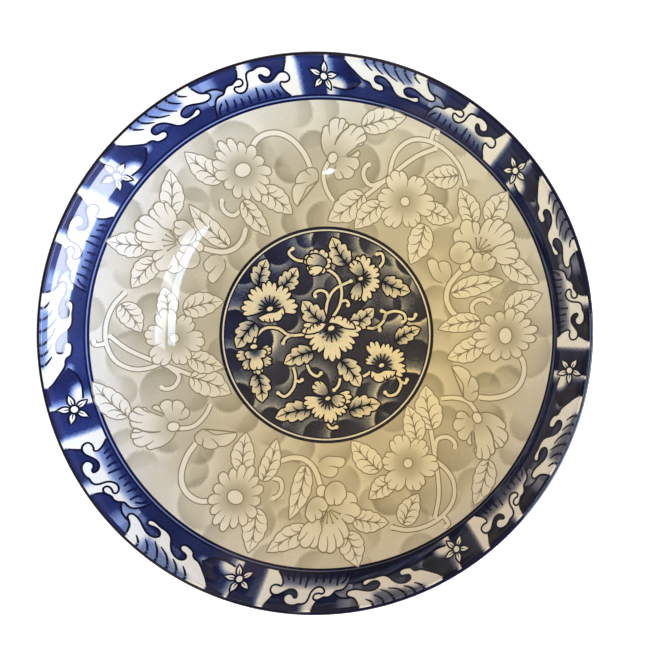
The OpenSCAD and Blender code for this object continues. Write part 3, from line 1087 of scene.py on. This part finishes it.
WAVE_LEFT = [
    (-51.9, 0), (-51.1, 2.5), (-49.9, 5), (-48.2, 6.9), (-46.5, 7.5), (-44.5, 7.7), (-43.6, 8.4),
    (-42.6, 9.5), (-41, 10.2), (-39.3, 10.1), (-37.9, 10.8), (-36.4, 11.4), (-35, 11), (-34.6, 9.9),
    (-35.2, 8.8), (-36.8, 8.4), (-38.5, 8.7), (-39.3, 7.9), (-38.7, 6.4), (-37.1, 5.6), (-35.1, 6),
    (-33.6, 7.4), (-32.9, 9), (-32.5, 11), (-31.6, 12.6), (-30, 13.2), (-28.7, 13.2), (-27.3, 13.8),
    (-25.6, 14), (-23.6, 13.6), (-22.2, 12.4), (-21.8, 11), (-22.5, 9.8), (-23.8, 9.2), (-25.2, 9.6),
    (-26.1, 10.6), (-27.1, 10.7), (-27.3, 9.6), (-26.7, 8.2), (-25.6, 7.4), (-23.8, 7.2), (-22.1, 7.9),
    (-20.3, 9.2), (-18.8, 10.2), (-17.2, 10.4), (-15.7, 9.8), (-14.9, 8.4), (-15.1, 7), (-16.3, 6.2),
    (-17.8, 6.1), (-19, 6.4), (-19.6, 5.6), (-19.4, 4.2), (-18.4, 2.4), (-17, 0.9), (-16.1, 0),
]
WAVE_LEFT_CUTS = [
    ((-50.1, 0.4), (-49, 2.9), (-47, 4.6)), ((-46.5, 0.5), (-45.3, 2.5), (-44.8, 5.5)),
    ((-42.6, 0.3), (-41.7, 2), (-41.4, 4.3)), ((-38.7, 0.3), (-38.3, 2), (-38.4, 3.9)),
    ((-35, 0.3), (-34.7, 2), (-34.8, 3.9)), ((-31, 0.3), (-30.6, 3), (-30.3, 6.2)),
    ((-27.5, 0.3), (-27.3, 2.6), (-27.7, 5)), ((-23.8, 0.3), (-23.9, 2.2), (-24.5, 3.8)),
    ((-20.9, 0.5), (-21.3, 2.2), (-22.1, 3.6)),
]
SWELL_ARC = [(-52.1, 10.6), (-50.9, 11.2), (-49, 11.2), (-46.9, 10.8), (-44.9, 9.6), (-43.6, 8.4)]
LOBE_ARC = [(3.8, 3.2), (6.5, 2.7), (10, 2.5), (14.2, 3.6), (17.6, 6.6)]
LEFT_EDGE = [(-14.6, TOP), (-15.8, 12.6), (-16.8, 10.5)]
WEDGE_EDGE = [(-35, TOP), (-35.6, 13.2), (-36.7, 11.4)]


def border_star(band):
    middle = (0, 7.6)
    t = np.linspace(0, 1, 9)
    side = 1.35 * np.sin(math.pi * t**0.85)
    arm = there_and_back(*(np.stack([1.0 + 5.6 * t, out], 1) for out in (side, -side)))
    for direction in range(8, 360, 72):
        band.shape("flowers", place(arm, middle, direction), 10, line=0.75)
        band.vein(place([(1.6, 0), (3.0, 0), (4.2, 0)], middle, direction), 11, 0.6)
    disc(band, middle, 1.75, 12)


def edged(band, role, runs, level, tone, *lines):
    """A filled shape with lines along only some of its edges."""
    band.fill(role, outline(*runs), level, tone)
    for line in lines:
        band.vein(line, level + 1, tail=1)


def border_blocks(band):
    """The upright shaded blocks on both sides of the star."""
    def left_tone(p):
        return 0.18 + 0.82 * fade(p[:, 0], -12.6, -9.2) + 0.14 * fade(p[:, 0], -12, -4)

    def right_tone(p):
        u, h = p.T
        edge = np.exp(-np.maximum(u - 1.6, 0) / 2.6)
        low = fade(np.hypot((u - 4.5) * 0.8, h - 4) + 0.35 * np.maximum(h - 4, 0), 2.4, 7.4)
        return 0.06 + 0.94 * np.maximum(edge * fade(-h, -9, -7), low) * fade(u, 9, 15)

    left = [LEFT_EDGE, [(-19.5, 5.6), (-19.4, 4), (-18.4, 2), (-16.1, 0)],
            [(-5.5, 0), (-5.5, 7), (-5.5, TOP)]]
    right = [[(0.9, TOP), (0.9, 12), (0.6, 8)], LOBE_ARC, [(17.6, 6.8), (13, 11), (9.4, TOP)]]
    edged(band, "blocks", left, 2, left_tone, LEFT_EDGE)
    edged(band, "blocks", right, 4, right_tone, [(0.9, TOP), (0.9, 12), (0.7, 9)], LOBE_ARC)


def border_swell(band):
    """The light shapes that stand behind the left wave."""
    def wedge_tone(p):
        return 0.14 + 0.86 * fade(p[:, 0], -32.6, -27.4)

    def swell_tone(p):
        return 0.68 - 0.4 * fade(p[:, 1], 5.5, 10.5) * fade(-p[:, 0], 44, 52)

    wedge = [WEDGE_EDGE, [(-39.4, 9), (-39.6, 6), (-37, 4.6), (-33, 6)], [(-31, 12), (-27, 13), (-25, TOP)]]
    edged(band, "blocks", wedge, 2, wedge_tone, WEDGE_EDGE)
    edged(band, "blocks", [SWELL_ARC, [(-43, 7), (-47, 5), (-52, 5.5)]], 2, swell_tone, SWELL_ARC)


def border_waves(band):
    """The two breaking waves, with dark strokes along their crests."""
    def right_tone(p):
        u, h = p.T
        return 1 - 0.46 * fade(-(h - (16.6 - 0.2 * (u - 10))), -1.0, 1.6) * fade(np.abs(u - 30), 9, 14)

    def left_tone(p):
        return 1 - 0.46 * fade(p[:, 1], 4.6, 7.4) - 0.3 * fade(p[:, 1], 0.5, 4.6)

    edged(band, "waves", [WAVE_RIGHT], 6, right_tone, WAVE_RIGHT)
    edged(band, "waves", [WAVE_LEFT], 6, left_tone, WAVE_LEFT)
    for cut in WAVE_RIGHT_CUTS:
        band.vein(cut, 8, 0.95, tail=0.5)
    for cut in WAVE_LEFT_CUTS:
        path = spline(cut)
        band.stroke(path, np.linspace(1.4, 0.8, len(path)), 8, "blocks", 0.04)


def draw_border():
    band = Print("border", border_tones, border_ink, 0.86, ("blocks", "waves", "flowers"))
    for k in range(len(STARS)):
        band.to_plan = border_place(k)
        for draw in (border_swell, border_blocks, border_waves, border_star):
            draw(band)
    band.finish()


# ---- turned skins

def stripes(name, node, slot, parts):
    """A band of plain stripes. A part is where it ends, as a share, its material, and any tone."""
    first, last = inside_edges(node)
    start = first
    for i, (share, material, *tone) in enumerate(parts):
        end = first + (last - first) * share
        skin(f"{name}_{i + 1}", node, slot, (start, end), material, *tone)
        start = end


def in_sectors(lobes):
    """Lobes repeated round the bowl."""
    return [(*turn((x, y), start), radius, direction + start, strength)
            for start in SECTORS for x, y, radius, direction, strength in lobes]


medallion_shade = lobed_ground(0.17, MEDALLION_LOBES, 0.86, 0.15, 3.3, 4, 0.7)
field_shade = lobed_ground(0.56, in_sectors(FIELD_LOBES), 0.6, 0.38, 5.5, 6, 1.0, (0.16, 84))
skin("medallion_ground", "medallion_print", "medallion_glaze", (0, inside_edges("medallion_print")[1]),
     medallion_tones, medallion_shade, columns=400, row_step=0.6)
stripes("medallion_ring", "medallion_line", "ring_glaze",
        [(0.26, medallion_tones, medallion_shade), (0.43, ring_dark), (0.62, ring_light), (1.0, ring_dark)])
skin("field_ground", "field_print", "field_glaze", inside_edges("field_print"), field_tones, field_shade,
     columns=560, row_step=0.9)
stripes("border_line", "border_line", "line_glaze", [(0.42, line_dark), (0.62, line_light), (1.0, line_dark)])
skin("border_ground", "border_print", "border_glaze", (border_foot_r, border_top_r), border_tones,
     border_ground, columns=1100, row_step=0.7)
skin("border_over_lip", None, "border_glaze", (border_top_r, surface_r[-1] - 0.1), border_tones, lip_ground,
     columns=2000, row_step=0.15, height=LAYER)
lathe("lip_edge", "lip_line", "lip_glaze", lip_glaze, columns=720)
lathe("outside_glaze", "outer_glaze", "clear_glaze", clear_glaze)
lathe("underside_glaze", "base_glaze", "clear_glaze", clear_glaze)
lathe("foot_ring_clay", "foot_ring", "bare_porcelain", foot_material)
body = frame["nodes"]["porcelain_body"]
body.data.materials.clear()
body.data.materials.append(body_material)

draw_medallion()
draw_field()
draw_border()


# ---- floor, lights and camera

def area_light(name, size, power, colour):
    data = bpy.data.lights.new(name, "AREA")
    data.shape = "RECTANGLE"
    data.size, data.size_y = size
    data.energy = power
    data.color = colour
    light = bpy.data.objects.new(name, data)
    light.visible_camera = False
    bpy.context.scene.collection.objects.link(light)
    return light


def panel(name, azimuth, elevation, distance, size, power, colour, mirrored=False):
    """A soft light that faces the bowl, with its azimuth from +X towards +Y. A mirrored one only shows in
    the glaze, and the others only light it."""
    light = area_light(name, size, power, colour)
    a, e = math.radians(azimuth), math.radians(elevation)
    light.location = Vector((math.cos(a) * math.cos(e), math.sin(a) * math.cos(e), math.sin(e))) * distance
    away = light.location - Vector((0, 0, 0.03))
    light.rotation_euler = away.to_track_quat("Z", "Y").to_euler()
    light.visible_glossy = mirrored
    light.visible_diffuse = not mirrored


def pane(centre, size, turned, power, colour):
    """A narrow overhead pane that only shows as a bright streak in the glaze."""
    light = area_light("pane", size, power, colour)
    light.location = centre
    light.rotation_euler = (0, 0, math.radians(turned))
    light.visible_diffuse = False


def make_floor():
    bpy.ops.mesh.primitive_plane_add(size=12, location=(0, 0, 0))
    floor = bpy.context.object
    floor.name = "floor"
    nodes = Nodes(bpy.data.materials.new("pale_floor"))
    nodes.feed(nodes.shader, {
        "Base Color": nodes.mottled(srgb(250, 250, 248), 0.01), "Roughness": 0.9, "Specular IOR Level": 0,
        "Emission Color": (1.0, 0.96, 0.92, 1), "Emission Strength": 0.55})
    floor.data.materials.append(nodes.owner)


BACKDROP = (0.86, 0.87, 0.88, 1)
ROOM = [(0.085, (0.12, 0.12, 0.14, 1)), (0.165, (0.95, 0.74, 0.56, 1)), (0.35, (0.7, 0.56, 0.42, 1)),
        (0.6, (0.1, 0.1, 0.1, 1))]


def make_world(colour):
    """An even light. The glaze mirrors a dim room, and behind the floor there is a pale backdrop."""
    world = bpy.data.worlds.new("studio")
    bpy.context.scene.world = world
    nodes = Nodes(world, "Background")
    across = nodes.vector("DOT_PRODUCT", "Value", nodes.coordinates["Generated"], (-0.92, 0.39, 0))
    rays = nodes.add("LightPath").outputs
    shown = nodes.mix(rays["Is Glossy Ray"], colour, nodes.ramp(across, ROOM))
    nodes.feed(nodes.shader, {"Color": nodes.mix(rays["Is Camera Ray"], shown, BACKDROP)})


def make_camera():
    """Almost straight above, a little to the right, with a long lens."""
    distance, width = 2.45, 0.2855
    target = Vector((0.0046, 0.0046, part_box("lip_line")[1].z))
    back = Vector((math.tan(math.radians(9.1)), -math.tan(math.radians(1.4)), 1)).normalized()
    right = Vector((0, 1, 0)).cross(back).normalized()
    data = bpy.data.cameras.new("camera")
    data.lens = 36 * distance / width
    data.clip_end = 20
    camera = bpy.data.objects.new("camera", data)
    camera.location = target + back * distance
    camera.rotation_euler = Matrix((right, back.cross(right), back)).transposed().to_euler()
    bpy.context.scene.collection.objects.link(camera)
    bpy.context.scene.camera = camera


make_floor()
make_world((0.34, 0.35, 0.24, 1))
panel("window_low", -24, 5.5, 2.2, (1.7, 0.42), 24, (0.9, 0.92, 1.0))
panel("window_shown", -20, 6, 2.2, (2.1, 0.46), 92, (0.76, 0.83, 1.0), mirrored=True)
for name, azimuth, elevation, power, colour in [
        ("window_fill", -30, 12, 100, (0.02, 0.3, 1.0)), ("warm_lamp", -30, 50, 42, (1.0, 0.71, 0.27)),
        ("side_right", 30, 12, 45, (0.28, 0.46, 1.0)), ("side_front", -70, 12, 14, (0.72, 0.9, 1.0)),
        ("side_behind", 150, 12, 24, (1.0, 0.64, 0.68)), ("side_left", 210, 12, 37, (0.55, 0.73, 1.0))]:
    panel(name, azimuth, elevation, 2.4, (1.1, 1.1), power, colour)
pane((0.72, -0.13, 2.0), (0.235, 0.5), -7, 5.2, (0.72, 0.78, 1.0))
pane((0.628, -0.52, 2.0), (0.19, 0.36), -21, 3.0, (0.72, 0.78, 1.0))
pane((0.49, -0.1, 2.0), (0.155, 0.4), 1, 4.3, (0.6, 0.8, 1.0))
pane((0.44, -0.43, 2.0), (0.15, 0.33), -17, 3.4, (0.6, 0.8, 1.0))
pane((-0.39, -0.95, 2.0), (0.055, 0.16), -27, 1.1, (0.97, 0.95, 1.0))
make_camera()
bpy.context.scene.view_settings.view_transform = "Standard"
